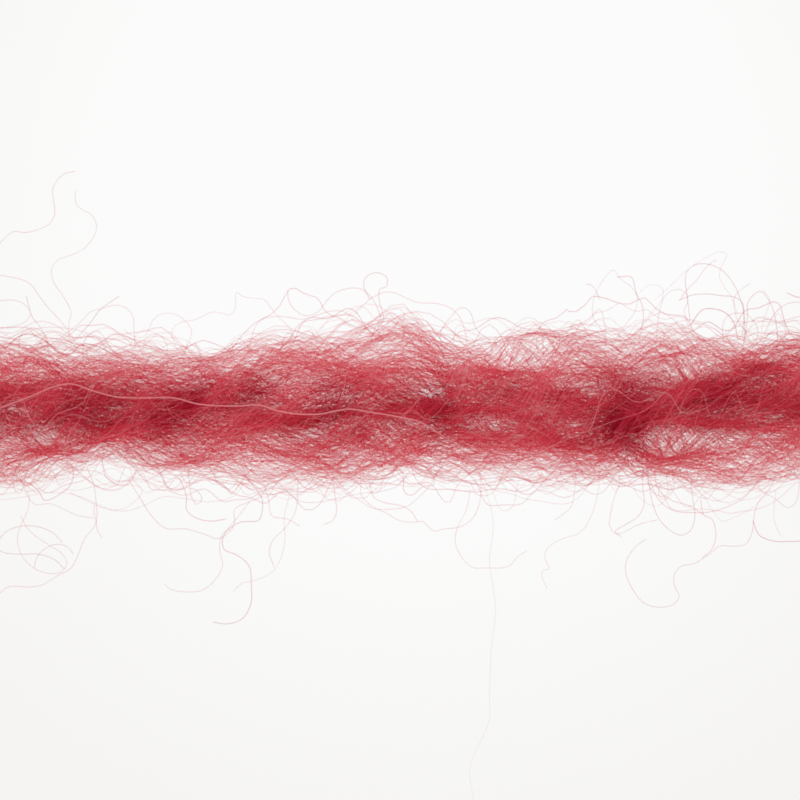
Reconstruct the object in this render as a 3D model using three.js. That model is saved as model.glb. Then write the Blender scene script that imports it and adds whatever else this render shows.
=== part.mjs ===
// A cut length of loosely plied, brushed cashmere yarn, lying straight on a flat surface.
// Three soft plies twist round each other unevenly, and each is one closed solid that
// reaches as far as its brushed nap is dense. Millimetres. +X runs along the yarn, +Z is up,
// and the origin lies on the surface under the middle of the yarn.
import * as THREE from 'three';

// The yarn as a whole
const LENGTH = 34; // from cut to cut
const RISE = 1.2; // height of the yarn's axis over the surface
const SETTLE = 0.88; // height over width, where the soft yarn has sunk under its own weight
const PLY_GAP = 0.4; // between two plies, measured square across the yarn

// A ply's section
const HEART = 0.55; // its middle, as a share of the way from the axis to its outside
const CORNER = 5; // how tightly its corners are rounded: 2 is an oval, 9 almost sharp
const SIDES = 22; // round the section
const STEP = 0.36; // along the yarn, from one section to the next

// Each ply is spun from a few soft locks of down, which show as low ridges along it
const LOCKS = 5; // round the ply
const LOCK_DEPTH = 0.1; // of the section's size there
const LOCK_SPIN = -0.16; // whole turns of the spin in each millimetre, against the ply's twist

// How the plies lie, a row for each place along the yarn. turn counts whole turns round the
// axis: 0 on top, 0.25 at the +Y edge, 0.5 on the surface, 0.75 at the -Y edge, and so on.
// reach is how far the nap's outside stands from the axis.
const PLIES = [
  {
    name: 'ply_1',
    colour: 0xb04250,
    rows: [
      { x: -17.0, turn: -0.86, reach: 1.36 },
      { x: -15.4, turn: -0.75, reach: 1.5 },
      { x: -11.0, turn: -0.5, reach: 1.46 },
      { x: -7.6, turn: -0.25, reach: 1.36 },
      { x: -6.0, turn: -0.13, reach: 0.98 },
      { x: -4.3, turn: 0.0, reach: 1.3 },
      { x: -2.0, turn: 0.14, reach: 1.5 },
      { x: 0.0, turn: 0.25, reach: 1.66 },
      { x: 1.2, turn: 0.33, reach: 1.4 },
      { x: 2.9, turn: 0.5, reach: 1.42 },
      { x: 4.6, turn: 0.67, reach: 1.56 },
      { x: 6.2, turn: 0.77, reach: 1.68 },
      { x: 10.1, turn: 1.0, reach: 1.5 },
      { x: 13.8, turn: 1.25, reach: 1.6 },
      { x: 17.0, turn: 1.46, reach: 1.4 },
    ],
  },
  {
    name: 'ply_2',
    colour: 0xa93a48,
    rows: [
      { x: -17.0, turn: -1.27, reach: 1.4 },
      { x: -13.0, turn: -1.0, reach: 1.5 },
      { x: -9.2, turn: -0.75, reach: 1.42 },
      { x: -5.8, turn: -0.5, reach: 1.4 },
      { x: -4.2, turn: -0.36, reach: 1.42 },
      { x: -1.4, turn: -0.23, reach: 1.58 },
      { x: 0.0, turn: -0.12, reach: 1.34 },
      { x: 0.8, turn: 0.0, reach: 1.3 },
      { x: 1.7, turn: 0.12, reach: 1.4 },
      { x: 3.0, turn: 0.25, reach: 1.68 },
      { x: 4.8, turn: 0.37, reach: 1.48 },
      { x: 6.9, turn: 0.5, reach: 1.42 },
      { x: 10.6, turn: 0.75, reach: 1.56 },
      { x: 15.0, turn: 1.0, reach: 1.5 },
      { x: 17.0, turn: 1.13, reach: 1.34 },
    ],
  },
  {
    name: 'ply_3',
    colour: 0xb54c58,
    rows: [
      { x: -17.0, turn: -1.53, reach: 1.38 },
      { x: -13.2, turn: -1.25, reach: 1.56 },
      { x: -9.2, turn: -1.0, reach: 1.42 },
      { x: -7.2, turn: -0.86, reach: 1.42 },
      { x: -5.8, turn: -0.75, reach: 1.24 },
      { x: -4.2, turn: -0.64, reach: 1.2 },
      { x: -2.0, turn: -0.5, reach: 1.42 },
      { x: 0.6, turn: -0.37, reach: 1.32 },
      { x: 2.6, turn: -0.25, reach: 1.34 },
      { x: 4.6, turn: -0.14, reach: 1.34 },
      { x: 6.3, turn: 0.0, reach: 1.26 },
      { x: 9.0, turn: 0.25, reach: 1.52 },
      { x: 12.4, turn: 0.5, reach: 1.44 },
      { x: 15.6, turn: 0.75, reach: 1.6 },
      { x: 17.0, turn: 0.85, reach: 1.4 },
    ],
  },
];

// How far the yarn's axis sways across, towards +Y, at some places along it.
const SWAYS = [
  { x: -17.0, sway: 0.0 },
  { x: -12.0, sway: -0.04 },
  { x: -7.0, sway: -0.1 },
  { x: -3.4, sway: -0.02 },
  { x: -1.4, sway: 0.08 },
  { x: 2.0, sway: -0.1 },
  { x: 3.8, sway: 0.03 },
  { x: 7.2, sway: 0.19 },
  { x: 12.0, sway: 0.08 },
  { x: 17.0, sway: 0.0 },
];

const TURN = 2 * Math.PI;

// A smooth curve through the rows of a table, giving the named columns at any x.
function smoothly(rows, columns) {
  const places = rows.map((row) => row.x);
  const values = rows.flatMap((row) => columns.map((column) => row[column]));
  const curve = new THREE.CubicInterpolant(places, values, columns.length);
  return (x) => {
    const there = curve.evaluate(THREE.MathUtils.clamp(x, places[0], places.at(-1)));
    return Object.fromEntries(columns.map((column, i) => [column, there[i]]));
  };
}

const lays = PLIES.map((ply) => smoothly(ply.rows, ['turn', 'reach']));
const axis = smoothly(SWAYS, ['sway']);

// The part of a whole turn from one turn count forwards to another.
function turnsAhead(from, to) {
  return THREE.MathUtils.euclideanModulo(to - from, 1);
}

// How far it is, from the ply's middle in one direction, to the flat wall half-way to its
// neighbour. side is 1 for the neighbour ahead and -1 for the one behind.
function toWall(middle, apart, side, outward, sideways) {
  const halfWedge = Math.PI * apart;
  const clear = middle * Math.sin(halfWedge) - PLY_GAP / 2;
  const facing = side * sideways * Math.cos(halfWedge) - outward * Math.sin(halfWedge);
  return clear / Math.max(facing, 1e-3);
}

// A ply fills its share of the yarn's round: the wedge between the walls to its two
// neighbours, out to its reach, with the corners rounded by a smooth minimum of the three
// distances. angle goes round the ply from its outermost point.
function sectionRadius(own, x, angle) {
  const { turn, reach } = lays[own](x);
  const others = lays.filter((_, ply) => ply !== own).map((lay) => lay(x).turn);
  const ahead = Math.min(...others.map((other) => turnsAhead(turn, other)));
  const behind = Math.min(...others.map((other) => turnsAhead(other, turn)));
  const middle = HEART * reach;
  const outward = Math.cos(angle);
  const sideways = Math.sin(angle);
  const toOutside = Math.sqrt(reach ** 2 - (middle * sideways) ** 2) - middle * outward;
  const limits = [
    toOutside,
    toWall(middle, ahead, 1, outward, sideways),
    toWall(middle, behind, -1, outward, sideways),
  ];
  const radius = limits.reduce((sum, limit) => sum + limit ** -CORNER, 0) ** (-1 / CORNER);
  const groove = (1 - Math.cos(LOCKS * (angle - TURN * LOCK_SPIN * x))) / 2;
  return radius * (1 - LOCK_DEPTH * groove);
}

// A ply starts as a closed cylinder, whose rings become its sections from end to end.
// Where it would sink below the surface it is pressed flat on it.
function makePly(own) {
  const steps = Math.round(LENGTH / STEP);
  const shape = new THREE.CylinderGeometry(1, 1, LENGTH, SIDES, steps);
  const points = shape.getAttribute('position');
  for (let i = 0; i < points.count; i += 1) {
    const x = points.getY(i);
    const angle = Math.atan2(points.getZ(i), points.getX(i));
    const share = Math.hypot(points.getZ(i), points.getX(i));
    const { turn, reach } = lays[own](x);
    const radius = share < 0.5 ? 0 : sectionRadius(own, x, angle);
    const outward = HEART * reach + radius * Math.cos(angle);
    const sideways = radius * Math.sin(angle);
    const lean = TURN * turn;
    const y = axis(x).sway + outward * Math.sin(lean) + sideways * Math.cos(lean);
    const z = outward * Math.cos(lean) - sideways * Math.sin(lean);
    points.setXYZ(i, x, y, Math.max(0, RISE + SETTLE * z));
  }
  shape.computeVertexNormals();
  return shape;
}

const yarn = new THREE.Group();
PLIES.forEach((ply, own) => {
  const wool = new THREE.MeshStandardMaterial({ color: ply.colour, roughness: 0.95, metalness: 0 });
  const mesh = new THREE.Mesh(makePly(own), wool);
  mesh.name = ply.name;
  yarn.add(mesh);
});

// The yarn is centred across, so that the origin is the middle of its foot.
const box = new THREE.Box3().setFromObject(yarn);
yarn.position.y = -(box.min.y + box.max.y) / 2;

export default yarn;
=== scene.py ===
# %% [markdown]
# # A cut length of brushed cashmere yarn
#
# Cashmere yarn is spun from down, the soft undercoat of a goat. Hundreds of fibres, each
# some 16 thousandths of a millimetre thick, make a loose ply. Three plies are twisted
# together, and the yarn is brushed, so that fibre loops stand out from it as a nap.
# The lesson builds it in that order: the way the plies lie, the fibres of each ply, the
# nap, the stray hairs, one pale guard hair, and then the finishes and the light.

import bpy
import numpy as np
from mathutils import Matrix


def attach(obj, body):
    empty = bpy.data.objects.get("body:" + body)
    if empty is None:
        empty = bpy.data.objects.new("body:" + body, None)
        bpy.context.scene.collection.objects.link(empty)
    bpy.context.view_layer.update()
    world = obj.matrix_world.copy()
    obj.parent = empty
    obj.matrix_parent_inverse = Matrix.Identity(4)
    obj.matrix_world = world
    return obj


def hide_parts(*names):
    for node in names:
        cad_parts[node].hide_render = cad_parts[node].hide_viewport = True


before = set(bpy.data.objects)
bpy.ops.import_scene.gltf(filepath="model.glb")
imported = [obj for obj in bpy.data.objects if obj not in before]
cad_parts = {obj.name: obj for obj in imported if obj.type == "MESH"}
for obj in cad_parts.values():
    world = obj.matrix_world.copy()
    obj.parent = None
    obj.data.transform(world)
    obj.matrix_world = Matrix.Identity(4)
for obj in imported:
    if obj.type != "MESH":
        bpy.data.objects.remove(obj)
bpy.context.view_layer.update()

MM = 0.001  # every length below is in millimetres, and Blender's are in metres

# %% [markdown]
# ## Camera
#
# The picture is a macro shot, taken square-on from above. A long lens far away gives the
# same flat view as a real macro lens, so the near fibres aren't drawn larger than the far
# ones. The yarn runs past both sides of the picture, so the camera sees only its middle.
# Nothing in the picture gives its scale. It is taken to be 16 mm wide, and the real yarn
# may be up to about twice as large.

# %% Camera
PICTURE_WIDE = 16.0  # of the yarn, from the left edge of the picture to the right one
PICTURE_UP = 0.16  # how far the picture's middle lies above the yarn's axis, seen in it
AXIS_HEIGHT = 1.2  # of the yarn's axis over the surface, as in the solids
SENSOR, LENS = 36.0, 360.0  # width of the sensor, focal length
NEAREST, FARTHEST = 0.01, 10.0  # that the camera draws, in metres

camera_data = bpy.data.cameras.new("macro_camera")
camera_data.sensor_width, camera_data.lens = SENSOR, LENS
camera_away = PICTURE_WIDE * LENS / SENSOR
camera_data.clip_start, camera_data.clip_end = NEAREST, FARTHEST
camera = bpy.data.objects.new("macro_camera", camera_data)
camera.location = (0.0, PICTURE_UP * MM, (AXIS_HEIGHT + camera_away) * MM)
bpy.context.scene.collection.objects.link(camera)
bpy.context.scene.camera = camera
print("the camera is", camera_away, "mm over the yarn's axis")

# %% [markdown]
# ## How the plies lie
#
# The yarn is loosely and unevenly twisted, so no screw line with one pitch describes it.
# Each ply has a short table instead: at some places along the yarn, how many turns it has
# made round the axis, and how far its outside reaches. The axis itself sways a little
# across, which is one more table. They are the solids' own tables, and a smooth curve
# through the rows gives the numbers anywhere.

# %% Tables of the plies
LENGTH = 34.0  # from cut to cut
TURN = 2 * np.pi

# columns: x along the yarn (mm), turn round the axis, reach from the axis (mm)
LAY = {
    "ply_1": np.array([
        (-17.0, -0.86, 1.36), (-15.4, -0.75, 1.5), (-11.0, -0.5, 1.46), (-7.6, -0.25, 1.36),
        (-6.0, -0.13, 0.98), (-4.3, 0.0, 1.3), (-2.0, 0.14, 1.5), (0.0, 0.25, 1.66),
        (1.2, 0.33, 1.4), (2.9, 0.5, 1.42), (4.6, 0.67, 1.56), (6.2, 0.77, 1.68),
        (10.1, 1.0, 1.5), (13.8, 1.25, 1.6), (17.0, 1.46, 1.4),
    ]),
    "ply_2": np.array([
        (-17.0, -1.27, 1.4), (-13.0, -1.0, 1.5), (-9.2, -0.75, 1.42), (-5.8, -0.5, 1.4),
        (-4.2, -0.36, 1.42), (-1.4, -0.23, 1.58), (0.0, -0.12, 1.34), (0.8, 0.0, 1.3),
        (1.7, 0.12, 1.4), (3.0, 0.25, 1.68), (4.8, 0.37, 1.48), (6.9, 0.5, 1.42),
        (10.6, 0.75, 1.56), (15.0, 1.0, 1.5), (17.0, 1.13, 1.34),
    ]),
    "ply_3": np.array([
        (-17.0, -1.53, 1.38), (-13.2, -1.25, 1.56), (-9.2, -1.0, 1.42), (-7.2, -0.86, 1.42),
        (-5.8, -0.75, 1.24), (-4.2, -0.64, 1.2), (-2.0, -0.5, 1.42), (0.6, -0.37, 1.32),
        (2.6, -0.25, 1.34), (4.6, -0.14, 1.34), (6.3, 0.0, 1.26), (9.0, 0.25, 1.52),
        (12.4, 0.5, 1.44), (15.6, 0.75, 1.6), (17.0, 0.85, 1.4),
    ]),
}

# columns: x along the yarn, how far its axis sways across (mm)
SWAYS = np.array([
    (-17.0, 0.0), (-12.0, -0.04), (-7.0, -0.1), (-3.4, -0.02), (-1.4, 0.08), (2.0, -0.1),
    (3.8, 0.03), (7.2, 0.19), (12.0, 0.08), (17.0, 0.0),
])


def smooth_curve(places, values, x):
    """A cubic through each row, whose slope at a row is the mean of the straight slopes on
    both sides of it. Between two rows it is their heights and slopes, each weighted by its
    own cubic of the share t of the way: 1 - 3t^2 + 2t^3 for the first height, and so on."""
    x = np.clip(x, places[0], places[-1])
    chords = np.diff(values) / np.diff(places)
    slopes = np.concatenate([chords[:1], (chords[1:] + chords[:-1]) / 2, chords[-1:]])
    row = np.clip(np.searchsorted(places, x, side="right") - 1, 0, len(places) - 2)
    width = places[row + 1] - places[row]
    t = (x - places[row]) / width
    rise = t * t * (3 - 2 * t)
    bend = t * (1 - t) * width
    slope_part = bend * ((1 - t) * slopes[row] - t * slopes[row + 1])
    return values[row] * (1 - rise) + values[row + 1] * rise + slope_part


def lay_of(ply, x):
    """A ply's turn and reach at every x."""
    rows = LAY[ply]
    return smooth_curve(rows[:, 0], rows[:, 1], x), smooth_curve(rows[:, 0], rows[:, 2], x)


def sway(x):
    """How far the yarn's axis lies across at every x."""
    return smooth_curve(SWAYS[:, 0], SWAYS[:, 1], x)


for ply in LAY:
    print(ply, "makes", round(float(np.ptp(LAY[ply][:, 1])), 2), "turns")

# %% [markdown]
# ## A fibre's address
#
# A soft ply isn't round: squeezed against its two neighbours, it fills a wedge of the
# yarn. So a fibre's address has two shares: how far it lies on the way out from the
# yarn's axis to the ply's reach, and how far on the way round from the ply's middle to
# the wall half-way to a neighbour. It keeps the address while the ply twists, swells and
# thins, as a real fibre does.

# %% Address to place
SETTLE = 0.88  # height over width, where the soft yarn has sunk under its own weight
SHOULDER = 0.22  # how much lower a ply's outside is at its walls, so that it looks round


def place_in_ply(ply, x, out, around, high=0.0, x_of_turn=None):
    """The point of a ply at two shares: out, from the axis to the reach, and around, from
    the ply's middle to the wall ahead (1) or behind (-1). It lies at out times the reach,
    plus high (mm), from the axis. The reach itself falls to the walls by SHOULDER times
    the cube of around. The angle is the ply's turn plus around times half the angle to
    that neighbour. The height over the axis is flattened by SETTLE, and the axis sways.
    The turn and the reach are those at x, or at x_of_turn where it is given."""
    at = x if x_of_turn is None else x_of_turn
    turn, reach = lay_of(ply, at)
    others = np.stack([lay_of(other, at)[0] for other in LAY if other != ply])
    ahead, behind = np.mod(others - turn, 1).min(axis=0), np.mod(turn - others, 1).min(axis=0)
    angle = TURN * turn + np.pi * around * np.where(around > 0, ahead, behind)
    reach = reach * (1 - SHOULDER * np.minimum(np.abs(around), 1) ** 3)
    radius = np.abs(out * reach + high)
    y = sway(x) + radius * np.sin(angle)
    z = AXIS_HEIGHT + SETTLE * radius * np.cos(angle)
    return np.stack(np.broadcast_arrays(x, y, z), axis=-1)


# %% [markdown]
# ## Where the fibres gather and part
#
# Loose twist never spreads fibres evenly. Where two plies lock they are drawn together
# into dark spots, and beside them small openings let the light through. A short table
# names the clearest of both: a spot, how far it reaches, and how strongly it draws the
# fibres in (above 0) or pushes them apart (below 0). The last column is painted shade: how
# much deeper a red the fibres there are painted, as light that has passed more fibres
# comes out a deeper red.

# %% Gathers and partings
# columns: x, y of the spot, its half length and half width (mm), strength, painted shade
GATHERS = np.array([
    (-8.0, 0.0, 0.9, 0.7, 0.25, 0.25),
    (-6.4, 0.1, 0.6, 0.45, 0.3, 0.35),
    (-4.2, 0.06, 0.45, 0.45, 0.5, 0.5),
    (-4.8, -0.34, 0.6, 0.4, 0.35, 0.35),
    (-2.8, 0.42, 0.4, 0.4, 0.35, 0.35),
    (-1.3, 0.06, 0.45, 0.45, 0.45, 0.45),
    (0.74, 0.0, 0.3, 0.5, 0.55, 0.55),
    (4.6, -0.05, 0.6, 0.8, 0.55, 0.55),
    (4.5, -0.55, 0.4, 0.35, 0.35, 0.35),
    (6.3, 0.3, 0.6, 0.45, 0.5, 0.5),
    (7.2, 0.8, 0.6, 0.5, 0.4, 0.4),
    (8.3, 1.4, 0.7, 0.5, 0.6, 0.4),
    (-7.3, -0.9, 0.6, 0.45, 0.5, 0.0),
    (-6.9, -0.9, 0.45, 0.4, 0.5, 0.0),
    (-5.8, -0.5, 0.6, 0.5, 0.6, 0.0),
    (-4.0, 0.95, 0.45, 0.5, 0.6, 0.1),
    (-4.1, -1.1, 0.7, 0.4, 0.5, 0.0),
    (-0.2, 0.9, 0.7, 0.6, 0.35, 0.0),
    (0.75, 0.55, 0.3, 0.25, 0.4, 0.0),
    (1.2, 1.15, 0.4, 0.4, 0.3, 0.0),
    (2.9, 1.5, 0.9, 0.35, 0.75, 0.0),
    (3.2, -0.75, 0.7, 0.45, 0.4, 0.0),
    (5.0, -1.3, 0.6, 0.45, 0.5, 0.0),
    (-7.0, -0.52, 0.3, 0.15, -0.4, 0.0),
    (-7.4, 0.7, 0.7, 0.3, -0.3, 0.0),
    (-5.7, 0.45, 0.5, 0.25, -0.4, 0.0),
    (-3.7, -0.24, 0.4, 0.2, -0.4, 0.0),
    (-1.7, -0.52, 0.6, 0.2, -0.3, 0.0),
    (-0.25, -0.48, 0.4, 0.24, -1.1, 0.0),
    (-0.1, -0.8, 0.4, 0.2, -0.6, 0.0),
    (1.65, -0.3, 0.4, 0.2, -1.2, 0.0),
    (1.7, 0.5, 0.4, 0.2, -0.5, 0.0),
    (2.2, 1.04, 0.4, 0.22, -1.3, 0.0),
    (3.3, 0.48, 0.4, 0.2, -0.5, 0.0),
    (5.5, 0.7, 0.55, 0.22, -1.1, 0.0),
    (5.35, -0.62, 0.5, 0.22, -2.0, 0.0),
    (6.3, -0.62, 0.6, 0.2, -0.9, 0.0),
    (7.1, -0.95, 1.0, 0.4, -0.8, 0.0),
])


def gather(points):
    """Moves each point across the yarn towards each spot by the strength times how far it
    is from the spot, fading as a bell curve along and across the yarn."""
    points = points.copy()
    for x, y, long, wide, strength, _ in GATHERS:
        off = points[..., 1] - y
        fade = np.exp(-((points[..., 0] - x) / long) ** 2 - (off / wide) ** 2)
        points[..., 1] = points[..., 1] - strength * fade * off
    return points


def packed_shade(points):
    """The painted shade at each point, a deeper red where fibres are packed: the sum of the
    table's last column, in which each spot fades along and across the yarn as its bell curve does."""
    x, y, long, wide, _, shade_depth = GATHERS[GATHERS[:, 5] > 0].T[:, :, None, None]
    fades = np.exp(-(((points[..., 0] - x) / long) ** 2) - ((points[..., 1] - y) / wide) ** 2)
    return (shade_depth * fades).sum(axis=0)


print(int((GATHERS[:, 4] > 0).sum()), "gathers and", int((GATHERS[:, 4] < 0).sum()), "partings")

# %% [markdown]
# ## A fibre
#
# A fibre of down is a long thin rod. Blender has hair curves for that, but a mesh tube is
# what other programs read too. A three-sided tube is enough, because a fibre is thinner
# than a pixel, and three sides keep hundreds of thousands of faces down. Its faces are
# shaded flat, because smooth shading of so few sides would darken it. Dyed down is clear,
# and one fibre is taken to keep back only a third of the light that falls on it.
# See-through tubes by the hundred are slow to render and few programs sort them well, so
# each tube is solid, and as much thinner as gives the same shadow.

# %% Tubes along paths
SIDES = 3
THICKNESS = 0.016  # of a fibre of down
SHADOW = 0.34  # share of the light on it that a clear fibre keeps back
DRAWN = THICKNESS * SHADOW
CORNER_OVER_THICKNESS = np.pi / (3 * np.sqrt(3))  # same mean width as a round fibre
OFF_AXIS = np.array([0.35, 0.28, 0.89])  # a direction that hardly any fibre runs in


def tubes(paths, thickness):
    """Corners and faces of closed tubes. paths holds a row of points for each fibre, and
    at each point the ring's corners stand off it by the radius, in the two directions that
    are square to the path: one is the cross product of the path's direction with a fixed
    one, the other the cross product of the two."""
    count, steps = paths.shape[:2]
    along = np.gradient(paths, axis=1)
    along /= np.linalg.norm(along, axis=-1, keepdims=True)
    side = np.cross(OFF_AXIS, along)
    side /= np.linalg.norm(side, axis=-1, keepdims=True)
    up = np.cross(along, side)
    angles = TURN * np.arange(SIDES) / SIDES
    ring = np.cos(angles)[:, None] * side[:, :, None] + np.sin(angles)[:, None] * up[:, :, None]
    radius = CORNER_OVER_THICKNESS * np.asarray(thickness)
    corners = paths[:, :, None] + ring * radius.reshape(count, -1, 1, 1)

    index = np.arange(count * steps * SIDES).reshape(count, steps, SIDES)
    here, after = index[:, :-1], index[:, 1:]
    walls = np.stack([here, np.roll(here, -1, 2), np.roll(after, -1, 2), after], axis=-1)
    ends = np.concatenate([index[:, 0, ::-1], index[:, -1]])
    return corners.reshape(-1, 3), walls.reshape(-1, 4), ends


def mesh_object(name, corners, walls, ends, shade):
    """A mesh object from corner places, four-sided walls and three-sided ends, in metres.
    shade is a number for each corner, which the fibre's colour follows."""
    mesh = bpy.data.meshes.new(name)
    mesh.vertices.add(len(corners))
    mesh.vertices.foreach_set("co", (corners * MM).astype(np.float32).ravel())
    mesh.loops.add(walls.size + ends.size)
    loops = np.concatenate([walls.ravel(), ends.ravel()])
    mesh.loops.foreach_set("vertex_index", loops.astype(np.int32))
    sizes = np.concatenate([np.full(len(walls), 4), np.full(len(ends), SIDES)])
    mesh.polygons.add(len(sizes))
    starts = np.concatenate([[0], np.cumsum(sizes)[:-1]])
    mesh.polygons.foreach_set("loop_start", starts.astype(np.int32))
    mesh.polygons.foreach_set("use_smooth", np.zeros(len(sizes), bool))
    mesh.update(calc_edges=True)
    mesh.validate()
    tone = mesh.attributes.new("shade", "FLOAT", "POINT")
    tone.data.foreach_set("value", np.asarray(shade, np.float32).ravel())
    thing = bpy.data.objects.new(name, mesh)
    bpy.context.scene.collection.objects.link(thing)
    print(name, "has", len(walls) * 2 + len(ends), "triangles")
    return thing


def fibre_object(name, paths, thickness, shade):
    """The tubes of a bundle of fibres as one object. shade is a number for each fibre, or
    a row of numbers along it. A path that would sink in the surface is lifted, to lie over
    it by the thickness of a drawn fibre."""
    lifted = paths.copy()
    lifted[..., 2] = np.maximum(lifted[..., 2], DRAWN)
    corners, walls, ends = tubes(lifted, thickness)
    shade = np.broadcast_to(np.reshape(shade, (len(paths), -1)), paths.shape[:2])
    return mesh_object(name, corners, walls, ends, np.repeat(shade, SIDES))


# %% [markdown]
# ## The fibres of a ply
#
# Perhaps three hundred fibres run through each ply. Most are out of focus in a macro shot,
# and their shadows run into each other, so more and finer ones are drawn in their place.
# They are spread like the seeds of a sunflower, and thin out towards the outside. The
# down was carded into soft locks: a fibre is drawn in towards the middle of the nearest
# lock and wanders with it, as combed hair does. The first lock lies along the outside of
# its ply, and draws its outline. The farther out a fibre lies, the looser it waves.

# %% Down of a ply
FIBRES = 376  # drawn through each ply
OF_ONE = 0.84  # how thick each is drawn, as a share of DRAWN
LOCKS = 7  # of a ply
OUTLINE = (0.86, 0.0)  # address of the first lock
AROUND_COUNTS = 0.5  # how much around counts against out, in how near a lock is
DRAWN_IN = 0.25  # share of the way to its lock's middle that a fibre is drawn in
THINNING = 0.9  # the fibres thin out as 1 - out^2 to this power
WIDEST = 1.06  # share of the reach at which they end
GOLDEN = (np.sqrt(5) - 1) / 2  # the step from one seed of a sunflower to the next

# How a lock wanders, and then each fibre on its own: lengths (mm), swings out and around
LOCK_LENGTHS, LOCK_OUT, LOCK_AROUND = (2.5, 8), 0.07, 0.28
OWN_LENGTHS, OWN_OUT, OWN_AROUND = (3, 9), 0.05, 0.16
FARTHEST_OUT = 1.1  # share of the reach that no fibre wanders past
CRIMP_LENGTHS, CRIMP = (1.5, 5.0), 0.085  # of the waves of down itself, and their swing
CRIMP_WAVES = 3  # in each fibre
LOOSE = 0.8  # of that swing at the axis, and twice as much at the reach


def waves(rng, count, x, wavelengths, amplitude, waves_each=2):
    """For each fibre a sum of sines of x with random wavelengths and starts, scaled so
    that its usual swing is the amplitude."""
    short, long = wavelengths
    total = np.zeros_like(x)
    for _ in range(waves_each):
        length = np.exp(rng.uniform(np.log(short), np.log(long), (count, 1)))
        start = rng.uniform(0, TURN, (count, 1))
        total = total + np.sin(TURN * x / length + start)
    return amplitude * total / np.sqrt(waves_each / 2)


def scattered(rng, count):
    """Shares out and around for a number of points. Their ranks go evenly from 0 to 1, and
    out is the share of the way within which that rank of them lies. Around goes on by the
    golden share of the ply's width from each to the next."""
    rank = (np.arange(count) + rng.random(count)) / count
    out = WIDEST * np.sqrt(1 - (1 - rank) ** (1 / (THINNING + 1)))
    around = 2 * np.mod(GOLDEN * np.arange(count) + rng.random(), 1) - 1
    return out, around


def down_paths(ply, x, rng):
    """Paths of a ply's fibres at places x, one row for each fibre: an address that wanders
    slowly, and waves on top of it that grow outwards."""
    count = len(x)
    lock_out, lock_around = scattered(rng, LOCKS)
    lock_out[0], lock_around[0] = OUTLINE
    out, around = scattered(rng, count)
    off_around = AROUND_COUNTS * (around[:, None] - lock_around)
    lock = np.hypot(out[:, None] - lock_out, off_around).argmin(axis=1)
    out = out + DRAWN_IN * (lock_out[lock] - out)
    around = around + DRAWN_IN * (lock_around[lock] - around)
    wander_out = waves(rng, LOCKS, x[:LOCKS], LOCK_LENGTHS, LOCK_OUT)[lock]
    wander_around = waves(rng, LOCKS, x[:LOCKS], LOCK_LENGTHS, LOCK_AROUND)[lock]
    out = np.abs(out[:, None] + wander_out + waves(rng, count, x, OWN_LENGTHS, OWN_OUT))
    around = around[:, None] + wander_around + waves(rng, count, x, OWN_LENGTHS, OWN_AROUND)
    points = place_in_ply(ply, x, np.minimum(out, FARTHEST_OUT), around)
    loose = LOOSE + LOOSE * out**2
    for axis in (1, 2):
        points[..., axis] += loose * waves(rng, count, x, CRIMP_LENGTHS, CRIMP, CRIMP_WAVES)
    return gather(points)


THICKNESS_SPREAD = 0.25  # of the logarithm of the thickness
THICKNESS_SHIFT = -0.03  # of the same, which keeps the mean thickness as it is


def thicknesses(rng, count):
    """Fibres of down vary in thickness, by a factor whose logarithm is scattered as a bell
    curve, most of them by less than a quarter."""
    return DRAWN * np.exp(rng.normal(THICKNESS_SHIFT, THICKNESS_SPREAD, count))


# painted light and shade: fibres far from the axis are painted paler, as lit, and those near it a deeper red,
# as shaded
OUTSIDE_AT = 1.5  # from the yarn's axis, where a fibre has its outside shade
SHADE_SPREAD = 0.08  # from fibre to fibre
# painted shade: how much deeper a red is painted where fibres are packed
PACKED_SHADE_DEPTH = 0.5  # how much deeper the red gets where fibres are packed
PALEST_DYED = 0.6  # shade of the palest fibre that took the dye
BADLY_DYED = (0.7, 1.0)  # shades of those that didn't


def shades(rng, paths, inside, outside, pale):
    """A number for each point of each fibre: 0 is the deepest red, 1 the palest. It goes
    evenly from inside, at the yarn's axis, to outside, at OUTSIDE_AT from it, and on: painted
    shade deep in the yarn and painted light at its outside. It falls where fibres are
    packed, as painted shade. A share of the fibres, pale, took the dye badly."""
    size = (len(paths), 1)
    from_axis = np.hypot(paths[..., 1], paths[..., 2] - AXIS_HEIGHT) / OUTSIDE_AT
    number = inside + (outside - inside) * from_axis + rng.normal(0, SHADE_SPREAD, size)
    number = np.clip(number - PACKED_SHADE_DEPTH * packed_shade(paths), 0, PALEST_DYED)
    return np.where(rng.random(size) < pale, rng.uniform(*BADLY_DYED, size), number)


# %% Build the plies
RAGGED = 0.12  # how unevenly the ends are cut
FINE, COARSE = 0.26, 1.1  # between points, in the picture and beyond it
SEEN = 8.5  # half the stretch with the fine points
MORE = 90  # fibres that each ply takes in where it gets thicker, towards +X
MORE_FROM = (2.1, 6.1)  # where along the yarn they begin
MORE_STEPS = 50
MORE_CLOSER = 1.25  # power that sets their points closer together where they begin
# painted shade at the yarn's axis and painted light at its outside
DOWN_SHADES = (0.06, 0.65)  # usual shades at the yarn's axis and at its outside
DOWN_PALE = 0.05  # share of the fibres that took the dye badly
DOWN_SEED = 40

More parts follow.
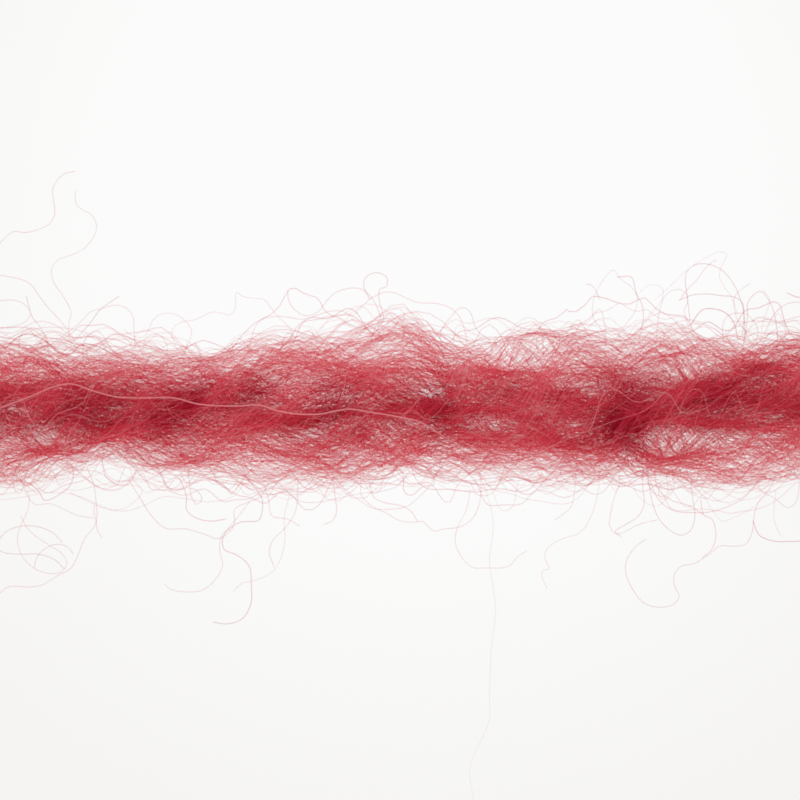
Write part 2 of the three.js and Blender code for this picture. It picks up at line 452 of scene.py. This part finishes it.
half = LENGTH / 2
stations = np.concatenate([
    np.arange(-half, -SEEN, COARSE), np.arange(-SEEN, SEEN, FINE),
    np.arange(SEEN, half, COARSE), [half],
])
plies = {}
for number, ply in enumerate(LAY):
    rng = np.random.default_rng(DOWN_SEED + number)
    cut = 1 + rng.uniform(-RAGGED, 0, (FIBRES, 1)) / half
    through = down_paths(ply, stations * cut, rng)
    begins = rng.uniform(*MORE_FROM, (MORE, 1))
    ends_at = half - rng.uniform(0, RAGGED, (MORE, 1))
    along = np.linspace(0, 1, MORE_STEPS) ** MORE_CLOSER
    more = down_paths(ply, begins + (ends_at - begins) * along, rng)
    for name, paths in (("fibres_", through), ("more_fibres_", more)):
        thickness = OF_ONE * thicknesses(rng, len(paths))
        shade = shades(rng, paths, *DOWN_SHADES, DOWN_PALE)
        plies[name + ply] = fibre_object(name + ply, paths, thickness, shade)
    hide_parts(ply)

# %% [markdown]
# ## The nap
#
# Brushing pulls loops of down out of the plies. Seen from the side, a loop leaves its ply
# at a slant, bends over and comes back, and a few curl right round. Each one is worked
# out as a walk: its heading turns steadily from leaving to coming back, random waves are
# added to the heading, and the sum of all the small steps is the fibre.

# %% Nap of a ply
NAP_STEPS = 34
HEADING_LENGTHS = (0.7, 2.6)  # of the waves in a walk's heading
SWING_LENGTHS, SWING = (1.0, 4.0), 0.6  # of its swings to the side, and their size (radians)
NAP_SPREAD = 0.5  # of the places round a ply where its nap starts
WALL_AWAY = 1.2  # sideways, from the middle of a ply to its wall
CARRIED = 0.5  # share of a ply's twist that carries its nap round


def walk(rng, count, long, turns, wave):
    """A walk away from a surface, as how far along, how high and how far sideways. The
    heading over the surface falls evenly by turns (whole turns) from start to end, half of
    it above level and half below, plus waves of the given size in radians."""
    length = rng.uniform(*long, (count, 1))
    step = length / (NAP_STEPS - 1)
    s = np.arange(NAP_STEPS) * step
    bend = TURN * rng.uniform(*turns, (count, 1))
    heading = bend * (0.5 - s / length) + waves(rng, count, s, HEADING_LENGTHS, wave)
    swing = waves(rng, count, s, SWING_LENGTHS, SWING)
    way = rng.choice([-1, 1], (count, 1))
    along = way * np.cumsum(np.cos(heading) * np.cos(swing) * step, axis=1)
    high = np.cumsum(np.sin(heading) * np.cos(swing) * step, axis=1)
    aside = np.cumsum(np.sin(swing) * step, axis=1)
    return along, high, aside


def nap_paths(ply, rng, count, long, turns, wave, out):
    """Walks that start at random places of a ply, a share out of the way to its reach.
    One that would go past a cut is moved back whole, to end there. The ply's twist carries
    them round with it at CARRIED of its rate."""
    along, high, aside = walk(rng, count, long, turns, wave)
    start = rng.uniform(-half, half, (count, 1))
    x = start + along
    x -= np.maximum(x.max(axis=1, keepdims=True) - half, 0)
    x -= np.minimum(x.min(axis=1, keepdims=True) + half, 0)
    around = rng.normal(0, NAP_SPREAD, (count, 1)) + aside / WALL_AWAY
    share = rng.uniform(*out, (count, 1))
    return gather(place_in_ply(ply, x, share, around, high, start + CARRIED * (x - start)))


# columns: number of loops in each ply, thickness over a usual fibre's, usual shade, share
# of pale ones, length (mm), turning (whole turns), waves (radians), share out
NAP = {
    "long low loops": (130, 1.0, 0.3, 0.1, (2.0, 6.0), (0.08, 0.26), 0.35, (0.6, 0.98)),
    "short arches": (170, 0.9, 0.3, 0.0, (0.9, 2.6), (0.3, 0.75), 0.45, (0.5, 0.95)),
    "curls": (36, 1.0, 0.3, 0.0, (1.8, 3.4), (0.9, 1.5), 0.4, (0.75, 1.0)),
    # pale hairs lie on top of the plies: partly badly dyed down, partly painted light from above, which
    # catches them there
    "pale hairs": (60, 1.0, 0.9, 0.6, (2.5, 6.0), (0.03, 0.16), 0.35, (0.85, 1.02)),
}
NAP_SEED = 60

nap = {}
for number, ply in enumerate(LAY):
    rng = np.random.default_rng(NAP_SEED + number)
    paths, thickness, shade = [], [], []
    for count, over_usual, usual, pale, *form in NAP.values():
        paths.append(nap_paths(ply, rng, count, *form))
        thickness.append(over_usual * thicknesses(rng, count))
        shade.append(shades(rng, paths[-1], usual, usual, pale))
    nap[ply] = fibre_object(
        "nap_" + ply, np.concatenate(paths), np.concatenate(thickness), np.concatenate(shade)
    )

# %% [markdown]
# ## Tangles
#
# Where plies lock, the yarn shows its darkest spots, which are shade deep in the grooves
# between the plies. Small soft tangles of short fibres, called neps by spinners, are put
# there in the deepest red, as painted shade. Each is a cloud of short fibres that loop
# through it in all directions: a fibre's path is its place in the cloud plus a few slow waves.

# %% Tangles
TANGLE_STEPS = 36
TANGLE_HALF_HEIGHT = 0.3
TANGLE_SPREAD = 0.5  # of the fibres' middles, as a share of the tangle's half size
TANGLE_LENGTHS = (0.5, 2.0)  # of their waves, as shares of a fibre
TANGLE_SWING = 0.8  # of their waves, as a share of the tangle's half size
TANGLE_SEED = 70

# columns: x, y of the middle, half length and half width (mm), number of fibres
SHADE_TANGLES = [
    (0.74, 0.02, 0.16, 0.17, 34),
    (1.05, 0.3, 0.14, 0.16, 14),
    (4.6, 0.0, 0.3, 0.3, 80),
    (4.5, -0.55, 0.22, 0.22, 30),
    (-4.2, 0.06, 0.22, 0.14, 34),
    (-4.7, -0.25, 0.3, 0.2, 26),
    (6.3, 0.3, 0.25, 0.18, 34),
    (-0.8, -0.45, 0.12, 0.12, 24),
    (-1.15, -0.02, 0.2, 0.16, 16),
    (-2.9, 0.26, 0.24, 0.2, 14),
    (-3.0, -0.42, 0.28, 0.2, 14),
    (-6.5, 0.0, 0.35, 0.3, 24),
]


def tangle_paths(rng, x, y, long, wide, count):
    """Fibres of one tangle. Each has a random place near the tangle's middle, at the height
    of the yarn's axis, and waves about it in all three directions, in each by a share of
    the tangle's size that way."""
    size = np.array([long, wide, TANGLE_HALF_HEIGHT])
    spread = rng.normal(0, TANGLE_SPREAD, (count, 1, 3))
    middle = np.array([x, y, AXIS_HEIGHT]) + spread * size
    share = np.linspace(0, 1, TANGLE_STEPS) + np.zeros((count, 1))
    swings = [waves(rng, count, share, TANGLE_LENGTHS, TANGLE_SWING) for _ in size]
    return middle + np.stack(swings, axis=-1) * size


rng = np.random.default_rng(TANGLE_SEED)
tangle_fibres = np.concatenate([tangle_paths(rng, *row) for row in SHADE_TANGLES])
count = len(tangle_fibres)
# painted shade: every tangle fibre is given shade 0, the deepest red
shade_tangles = fibre_object(
    "shade_tangles", tangle_fibres, thicknesses(rng, count), shades(rng, tangle_fibres, 0, 0, 0)
)
print(len(SHADE_TANGLES), "tangles of", count, "fibres")

# %% [markdown]
# ## Stray hairs
#
# Some fibres stand right out of the yarn, and they are what the eye meets first against
# the white. Chance wouldn't put them in the right places, so each is a short row of
# places, read off the picture in its own pixels from the upper left corner, with a
# smooth curve through them. Its height over the surface can't be read from above. A
# seeded dice gives the heights of its two ends, and it goes evenly from one to the other
# in slow waves. Beyond the picture the same hairs are used again, mirrored across.

# %% Stray hairs, up in the picture
PIXEL = 0.02  # millimetres in the yarn to a pixel of the picture
MIDDLE = np.array([400.0, 408.0])  # the pixel over the yarn's middle

UPPER = [
    [(-42, 335), (-30, 292), (-12, 256), (0, 245), (15, 232), (25, 233), (38, 230), (50, 224),
     (55, 215), (54, 200), (53, 191), (57, 182), (66, 174), (76, 172)],
    [(68, 340), (68, 322), (70, 313), (60, 293), (53, 283), (50, 270), (56, 260), (66, 256),
     (80, 250), (91, 238), (95, 225), (90, 214), (81, 209), (75, 204), (74, 190)],
    [(-30, 318), (0, 301), (18, 301), (27, 306), (32, 314), (27, 322), (18, 326), (0, 330), (-20, 345)],
    [(27, 296), (29, 306), (33, 317), (40, 326), (50, 340)],
    [(-25, 300), (0, 276), (10, 277), (20, 279), (32, 285), (40, 296), (50, 309), (61, 321), (75, 340)],
    [(70, 345), (90, 322), (99, 310), (108, 303), (118, 296)],
    [(60, 338), (80, 322), (90, 312), (103, 308), (116, 305), (126, 308), (132, 316), (133, 331), (134, 350)],
    [(125, 330), (133, 336), (143, 337), (148, 331), (153, 320), (161, 314), (174, 314), (186, 322),
     (191, 332), (187, 344), (180, 360)],
    [(200, 360), (187, 347), (176, 344), (172, 336), (174, 327), (182, 322), (194, 320), (201, 317),
     (212, 312), (222, 313), (230, 315), (235, 308), (236, 292), (242, 296), (252, 298), (263, 299),
     (271, 308), (279, 318), (287, 325), (298, 345)],
    [(248, 352), (252, 335), (255, 326), (262, 319), (275, 316), (289, 317), (304, 319), (316, 315),
     (329, 311), (343, 311), (351, 316), (361, 307), (371, 298), (384, 292), (393, 292), (405, 297),
     (418, 302), (437, 303), (450, 307), (459, 315), (464, 326), (467, 340), (468, 356)],
    [(288, 290), (289, 301), (295, 310), (307, 316), (318, 312), (327, 301), (334, 294), (346, 289),
     (361, 289), (371, 297), (379, 312), (384, 335)],
    [(384, 320), (380, 289), (386, 287), (387, 278), (376, 273), (365, 279), (364, 287), (370, 300)],
    [(607, 350), (601, 330), (593, 318), (592, 310), (594, 297), (601, 283), (614, 270), (621, 279),
     (632, 287), (637, 295), (637, 307), (633, 315), (626, 324), (615, 340)],
    [(617, 277), (632, 277), (637, 292), (643, 306), (644, 318), (640, 340)],
    [(600, 300), (595, 290), (591, 285), (586, 284)],
    [(640, 292), (647, 286), (656, 285), (663, 289), (662, 300), (655, 309), (646, 318), (636, 335)],
    [(656, 345), (658, 323), (661, 306), (667, 294), (679, 289), (687, 293), (689, 301), (686, 309),
     (690, 325), (700, 345)],
    [(690, 320), (687, 295), (685, 280), (687, 271), (695, 265), (707, 264), (721, 269), (731, 279),
     (738, 291), (744, 310), (746, 335)],
    [(680, 300), (686, 291), (695, 282), (704, 271), (713, 262), (719, 259)],
    [(655, 300), (667, 289), (690, 268), (707, 257), (721, 252), (726, 255), (721, 266), (719, 277),
     (724, 287), (731, 297), (738, 315)],
    [(680, 300), (692, 295), (707, 294), (722, 296), (734, 297), (742, 303), (743, 317), (740, 335)],
    [(751, 283), (742, 289), (734, 297), (733, 307), (736, 320), (744, 332), (752, 350)],
    [(744, 345), (748, 313), (748, 304), (753, 296), (761, 291), (767, 297), (773, 310), (776, 326),
     (777, 336), (776, 352)],
    [(758, 352), (762, 338), (763, 323), (768, 307), (769, 297), (764, 291)],
    [(765, 335), (776, 313), (787, 304), (799, 302), (815, 306), (826, 325), (830, 345)],
    [(787, 293), (796, 297), (812, 299), (835, 320)],
    [(690, 325), (702, 310), (713, 309), (725, 313), (733, 322), (738, 340)],
]

# %% Stray hairs, down in the picture
LOWER = [
    [(5, 462), (15, 476), (27, 489), (30, 501), (26, 516), (20, 530), (19, 541), (24, 556), (36, 568),
     (52, 573), (63, 571), (68, 562), (63, 553), (50, 544), (36, 534), (27, 524), (23, 515)],
    [(65, 569), (54, 559), (38, 554), (23, 554), (8, 553), (0, 550), (-6, 545), (0, 539), (8, 531),
     (21, 526), (38, 526), (54, 532), (64, 542)],
    [(33, 568), (36, 558), (46, 548), (59, 544), (70, 548), (74, 554)],
    [(-20, 610), (0, 593), (8, 587), (29, 587), (42, 585), (57, 576), (71, 568), (78, 554), (84, 539),
     (94, 526), (96, 514), (95, 505), (92, 485), (85, 468)],
    [(94, 505), (96, 518), (99, 528), (104, 537)],
    [(-30, 500), (0, 500), (23, 497), (46, 493), (65, 493), (84, 498), (99, 505), (111, 510), (122, 509),
     (134, 502), (142, 492), (140, 487), (124, 485), (107, 485), (95, 478)],
    [(63, 489), (77, 490), (92, 487), (115, 482), (134, 480), (151, 483), (165, 490), (175, 480)],
    [(20, 480), (34, 504), (50, 504), (63, 509), (77, 515), (94, 518)],
    [(69, 493), (86, 501), (103, 508), (125, 511), (145, 505), (163, 497), (184, 499), (207, 502),
     (230, 498), (241, 488), (245, 470)],
    [(130, 480), (142, 499), (151, 514), (166, 528), (186, 529), (203, 534), (218, 539), (228, 533),
     (234, 524), (234, 510), (249, 502), (260, 497), (270, 480)],
    [(249, 502), (240, 514), (228, 528), (220, 538), (219, 551), (222, 566), (214, 581), (201, 591),
     (184, 593), (168, 590), (163, 585)],
    [(240, 462), (249, 480), (256, 489), (262, 499), (262, 512), (259, 520), (241, 522), (230, 528),
     (223, 537), (224, 549), (237, 555), (249, 566), (251, 585), (250, 606), (241, 620), (226, 625),
     (212, 623)],
    [(233, 592), (241, 584), (256, 580), (272, 572), (281, 558), (285, 539), (284, 520), (288, 500),
     (296, 480)],
    [(298, 480), (295, 512), (285, 528), (274, 539), (270, 551), (275, 566)],
    [(262, 480), (268, 497), (272, 516), (287, 519), (300, 526)],
    [(180, 478), (187, 497), (187, 509), (195, 517), (210, 521), (226, 519)],
    [(188, 465), (190, 485), (192, 497), (197, 504), (202, 499), (197, 490), (190, 488)],
    [(280, 485), (300, 501), (319, 502), (338, 498), (363, 493), (382, 491), (399, 485), (410, 470)],
    [(333, 480), (336, 501), (337, 510), (333, 520), (324, 524)],
    [(330, 470), (346, 490), (359, 500), (373, 508), (388, 509), (407, 506), (421, 495), (432, 482),
     (440, 465)],
    [(359, 465), (361, 484), (361, 495), (373, 507), (386, 513), (401, 521), (415, 522), (422, 521),
     (434, 531), (442, 529), (459, 527), (472, 519), (479, 505), (481, 491), (480, 470)],
    [(368, 465), (370, 484), (374, 497), (384, 502), (403, 506), (412, 512), (417, 520)],
    [(470, 490), (466, 510), (457, 528), (455, 541), (461, 556), (472, 567), (484, 568), (510, 566),
     (518, 557), (527, 551)],
    [(576, 470), (575, 493), (572, 507), (562, 516), (554, 521)],
    [(600, 470), (598, 491), (591, 516), (581, 532), (560, 540), (547, 549), (545, 558), (549, 569),
     (543, 570), (542, 577), (547, 588)],
    [(430, 465), (434, 478), (445, 488), (463, 491), (482, 488), (503, 478), (515, 465)],
    [(620, 465), (618, 486), (614, 499), (609, 525)],
    [(642, 470), (643, 490), (644, 504), (638, 516), (626, 524), (615, 532), (622, 537)],
    [(609, 525), (615, 533), (641, 523), (656, 519)],
    [(648, 470), (650, 488), (652, 501), (658, 517), (667, 528), (681, 535), (690, 530), (694, 516),
     (692, 501), (690, 487), (689, 465)],
    [(685, 470), (695, 487), (704, 498), (713, 512), (722, 521), (736, 516), (751, 508), (765, 495),
     (780, 487), (800, 480)],
    [(775, 475), (768, 489), (757, 502), (753, 516), (751, 533), (745, 544), (733, 546), (719, 546),
     (712, 552), (705, 557), (693, 564), (681, 566), (674, 574), (674, 585), (679, 597), (673, 604),
     (659, 607), (644, 603), (633, 590), (626, 574), (626, 562), (635, 547), (646, 539)],
    [(700, 500), (704, 515), (712, 519), (716, 530), (716, 542), (712, 552), (704, 559)],
    [(752, 520), (756, 531), (760, 536), (774, 541), (787, 541), (799, 540), (815, 530), (830, 500)],
    [(775, 490), (774, 510), (776, 524), (783, 538)],
    [(650, 480), (658, 498), (667, 507), (679, 512), (693, 513), (712, 512), (728, 507), (745, 498),
     (760, 480)],
    [(655, 470), (659, 490), (671, 500), (690, 506), (704, 515)],
]

# %% Build the stray hairs
STRAY_STEPS = 64
BEYOND = 17.0  # how far along the yarn the same hairs are used again
FIRST_HEIGHT, LAST_HEIGHT = (0.6, 1.8), (0.15, 2.4)  # over the surface, of their two ends
STRAY_LENGTHS = (0.5, 1.5)  # of their waves up and down, as shares of a hair
STRAY_SWING = 0.12  # of those waves
STRAY_SHADE, STRAY_PALE = 0.3, 0.1  # usual shade, share that took the dye badly
STRAY_SEED = 80


def route(places, steps):
    """Points along a smooth curve through places in the picture. x and y are each a smooth
    curve of the way covered, counted straight from place to place, in even steps."""
    places = (np.array(places, float) - MIDDLE) * (PIXEL, -PIXEL)
    way = np.concatenate([[0], np.cumsum(np.linalg.norm(np.diff(places, axis=0), axis=1))])
    s = np.linspace(0, way[-1], steps)
    return np.stack([smooth_curve(way, column, s) for column in places.T], axis=1)


rng = np.random.default_rng(STRAY_SEED)
seen_routes = np.stack([route(places, STRAY_STEPS) for places in UPPER + LOWER])
shifts = np.where(seen_routes[..., 0].mean(axis=1, keepdims=True) > 0, -BEYOND, BEYOND)
beyond_routes = seen_routes * (1, -1) + np.stack([shifts, 0 * shifts], axis=-1)
flat_routes = np.concatenate([seen_routes, beyond_routes])
count = len(flat_routes)
first, last = (rng.uniform(*heights, (count, 1)) for heights in (FIRST_HEIGHT, LAST_HEIGHT))
share = np.linspace(0, 1, STRAY_STEPS)
rise = waves(rng, count, share, STRAY_LENGTHS, STRAY_SWING)
heights = first + (last - first) * share + rise
stray_paths = np.concatenate([flat_routes, heights[..., None]], axis=2)
stray_thickness = thicknesses(rng, count)
stray_shade = shades(rng, stray_paths, STRAY_SHADE, STRAY_SHADE, STRAY_PALE)
strays = fibre_object("stray_hairs", stray_paths, stray_thickness, stray_shade)
print(count, "stray hairs")

# %% [markdown]
# ## The guard hair
#
# Guard hairs are the goat's coarse outer coat. Nearly all are combed out of the down, but
# one was left in this yarn. It took little dye. It lies along the top of the yarn, drops
# over its side and runs off over the surface, getting thinner to its tip. A real one is
# two or three times as thick as down. On the yarn this one is drawn not quite one and a
# half times as thick, because that already looks as wide as in the picture, and over the
# white it is drawn much thinner, to look as faint as it does there.

# %% Guard hair
GUARD_THICK = 0.026  # the taper below gives shares of this
GUARD_STEPS = 220
GUARD_TOP = 2.62  # usual height over the surface, on top of the yarn
GUARD_BUMP, BUMP_LENGTHS = 0.06, (3.4, 2.1)  # how it rises and sinks over the uneven plies
GUARD_SHOULDER, GUARD_FALL = 1.5, 0.12  # how far out it drops, and how sharply
# painted light: the clear hair is painted redder where the red yarn shows through it, nearly white over the
# lit acrylic
GUARD_SHOW_THROUGH = 0.8  # how far its shade falls from the palest where it lies on the yarn

# columns: point of the hair, thickness there as a share of GUARD_THICK
GUARD_TAPER = np.array([(0, 0.7), (30, 0.9), (110, 0.9), (140, 0.26), (GUARD_STEPS, 0.16)])

GUARD = [
    (-60, 440), (-30, 428), (0, 410), (30, 398), (60, 386), (74, 384), (96, 391), (120, 397),
    (144, 398), (176, 398), (200, 404), (240, 406), (260, 405), (280, 411), (300, 414), (320, 414),
    (350, 409), (370, 412), (400, 417), (420, 422), (440, 434), (460, 448), (472, 462), (486, 491),
    (491, 507), (494, 526), (492, 545), (490, 562), (493, 583), (496, 606), (496, 618), (493, 640),
    (491, 667), (490, 698), (490, 721), (484, 738), (475, 756), (470, 774), (472, 790), (476, 812),
    (478, 830),
]
guard_flat = route(GUARD, GUARD_STEPS)
fall = 1 / (1 + np.exp((np.abs(guard_flat[:, 1]) - GUARD_SHOULDER) / GUARD_FALL))
bumps = GUARD_BUMP * sum(np.sin(TURN * guard_flat[:, 0] / length) for length in BUMP_LENGTHS)
guard_height = GUARD_THICK + (GUARD_TOP + bumps - GUARD_THICK) * fall
guard_path = np.concatenate([guard_flat, guard_height[:, None]], axis=1)[None]
taper = np.interp(np.arange(GUARD_STEPS), *GUARD_TAPER.T)
# painted light: redder where it lies on the yarn, palest where the white shows through it
guard_shade = 1 - GUARD_SHOW_THROUGH * fall[None]
guard = fibre_object("guard_hair", guard_path, GUARD_THICK * taper[None], guard_shade)

# %% [markdown]
# ## Finishes
#
# Dyed down is clear keratin full of red dye. It has hardly any shine of its own, because
# its scales scatter the light, and in a bundle the light passes from fibre to fibre and
# gets a deeper red each time. A plain diffuse surface does the same in Cycles, as long as
# its colour is that of one fibre, and not that of the whole yarn. On top of that, a deeper
# red is painted as shade on the fibres deep in the yarn, where they are packed and in the
# tangles, and the guard hair's colour is painted with the light that shows through it.

# %% Materials
DRIFT = 0.3  # how far the shade drifts along a fibre, from its lowest to its highest
USUAL_AT = 0.4  # shade number of a finish's usual colour
KERATIN = {"Roughness": 0.6, "IOR": 1.55, "Specular IOR Level": 0.05}


def linear(hexes):
    """sRGB hex digits as the linear red, green, blue and alpha that shaders work in."""
    srgb = np.array([int(hexes[i:i + 2], 16) for i in (0, 2, 4)]) / 255
    low = srgb / 12.92
    high = ((srgb + 0.055) / 1.055) ** 2.4
    return (*np.where(srgb <= 0.04045, low, high).tolist(), 1.0)


def add(tree, kind, inputs=None, **settings):
    """Adds a node of a kind, sets its settings, and fills its inputs: with a link where
    the value is another node's output, else with the value itself."""
    node = tree.nodes.new(kind)
    for name, value in settings.items():
        setattr(node, name, value)
    for name, value in (inputs or {}).items():
        if isinstance(value, bpy.types.NodeSocket):
            tree.links.new(value, node.inputs[name])
        else:
            node.inputs[name].default_value = value
    return node


def fibre_finish(name, deep, usual, pale, mottle_mm):
    """The finish of one fibre: its colour runs from deep through usual to pale with its
    shade number, and drifts a little along it, in patches of mottle_mm."""
    material = bpy.data.materials.new(name)
    material.use_nodes = True
    tree = material.node_tree
    tree.nodes.clear()
    tone = add(tree, "ShaderNodeAttribute", attribute_name="shade")
    place = add(tree, "ShaderNodeTexCoord")
    patches = add(tree, "ShaderNodeTexNoise", {
        "Vector": place.outputs["Object"], "Scale": 1 / (mottle_mm * MM), "Detail": 1.0,
    })
    drift = add(tree, "ShaderNodeMath", {0: patches.outputs["Fac"], 1: DRIFT, 2: -DRIFT / 2},
                operation="MULTIPLY_ADD")
    shade = add(tree, "ShaderNodeMath", {0: tone.outputs["Fac"], 1: drift.outputs[0]},
                operation="ADD")
    ramp = add(tree, "ShaderNodeValToRGB", {"Fac": shade.outputs[0]})
    stops = ramp.color_ramp.elements
    stops[0].position, stops[0].color = 0.0, linear(deep)
    stops[1].position, stops[1].color = 1.0, linear(pale)
    middle = stops.new(USUAL_AT)
    middle.color = linear(usual)
    surface = add(tree, "ShaderNodeBsdfPrincipled", {
        "Base Color": ramp.outputs["Color"], **KERATIN,
    })
    add(tree, "ShaderNodeOutputMaterial", {"Surface": surface.outputs[0]})
    return material


# the deep end, d01f40, is painted shade: deep in the yarn, where fibres are packed, and in the tangles
down_finish = fibre_finish("dyed cashmere down", "d01f40", "fc5469", "fcaab0", 0.6)
# the guard hair's deep end is the yarn's red painted through it, its pale end the white light through it
guard_finish = fibre_finish("pale guard hair", "f47c86", "ffb0b4", "f6f2f0", 1.5)
down = [*plies.values(), *nap.values(), shade_tangles, strays]
for thing in down:
    thing.data.materials.append(down_finish)
guard.data.materials.append(guard_finish)
for thing in [*down, guard]:
    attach(thing, "root")

# %% [markdown]
# ## Cords
# Each ply is a soft cord of a known length, and the line that it follows, along its
# middle, is worked out here.

HEART = 0.55  # a ply's middle, as a share of the way from the axis to its outside
LINE_POINTS = 120

for ply in LAY:
    x = np.linspace(-half, half, LINE_POINTS)
    line = place_in_ply(ply, x, HEART, 0.0) * MM

# %% [markdown]
# ## Floor and light
#
# The yarn was photographed on lit white acrylic, with soft light all round, so that every
# fibre shows against white and nothing throws a shadow. The floor glows a little less
# than full white, and a white sky gives about two thirds as much light from above.

# %% Floor
BRIGHTEST = (0.5 * MM, 4.0 * MM, 0.0)  # place on the acrylic
FADED = 14.0 * MM  # distance from there at which the light has faded to its warm edge
FADES_FROM = 0.4  # share of that distance over which it doesn't fade yet
GLOW = 0.985  # of the acrylic, where it is brightest
FLOOR_HALF = 1.0  # from its middle to each side, in metres

floor_mesh = bpy.data.meshes.new("lit_acrylic")
corners = [(-1, -1, 0), (1, -1, 0), (1, 1, 0), (-1, 1, 0)]
floor_mesh.from_pydata((np.array(corners) * FLOOR_HALF).tolist(), [], [(0, 1, 2, 3)])
floor = bpy.data.objects.new("lit_acrylic", floor_mesh)
bpy.context.scene.collection.objects.link(floor)
acrylic = bpy.data.materials.new("lit white acrylic")
acrylic.use_nodes = True
tree = acrylic.node_tree
tree.nodes.clear()
place = add(tree, "ShaderNodeTexCoord")
away = add(tree, "ShaderNodeVectorMath", {0: place.outputs["Object"], 1: BRIGHTEST},
           operation="DISTANCE")
share = add(tree, "ShaderNodeMath", {0: away.outputs["Value"], 1: 1 / FADED},
            operation="MULTIPLY")
tint = add(tree, "ShaderNodeValToRGB", {"Fac": share.outputs[0]})
stops = tint.color_ramp.elements
stops[0].position, stops[0].color = FADES_FROM, linear("fcfcfc")
stops[1].position, stops[1].color = 1.0, linear("f5f4f2")
glow = add(tree, "ShaderNodeBsdfPrincipled", {
    "Base Color": linear("202020"), "Roughness": 0.9, "Specular IOR Level": 0.0,
    "Emission Color": tint.outputs["Color"], "Emission Strength": GLOW,
})
add(tree, "ShaderNodeOutputMaterial", {"Surface": glow.outputs[0]})
floor_mesh.materials.append(acrylic)

# %% Light from above
SKY = 0.68  # strength of its light
SOFTNESS = 1.9  # width in pixels of each one's blur, as a macro lens is a little soft

world = bpy.data.worlds.new("soft white room")
world.use_nodes = True
tree = world.node_tree
tree.nodes.clear()
sky = add(tree, "ShaderNodeBackground", {"Color": linear("ffffff"), "Strength": SKY})
add(tree, "ShaderNodeOutputWorld", {"Surface": sky.outputs[0]})
bpy.context.scene.world = world
bpy.context.scene.view_settings.view_transform = "Standard"
bpy.context.scene.cycles.filter_width = SOFTNESS
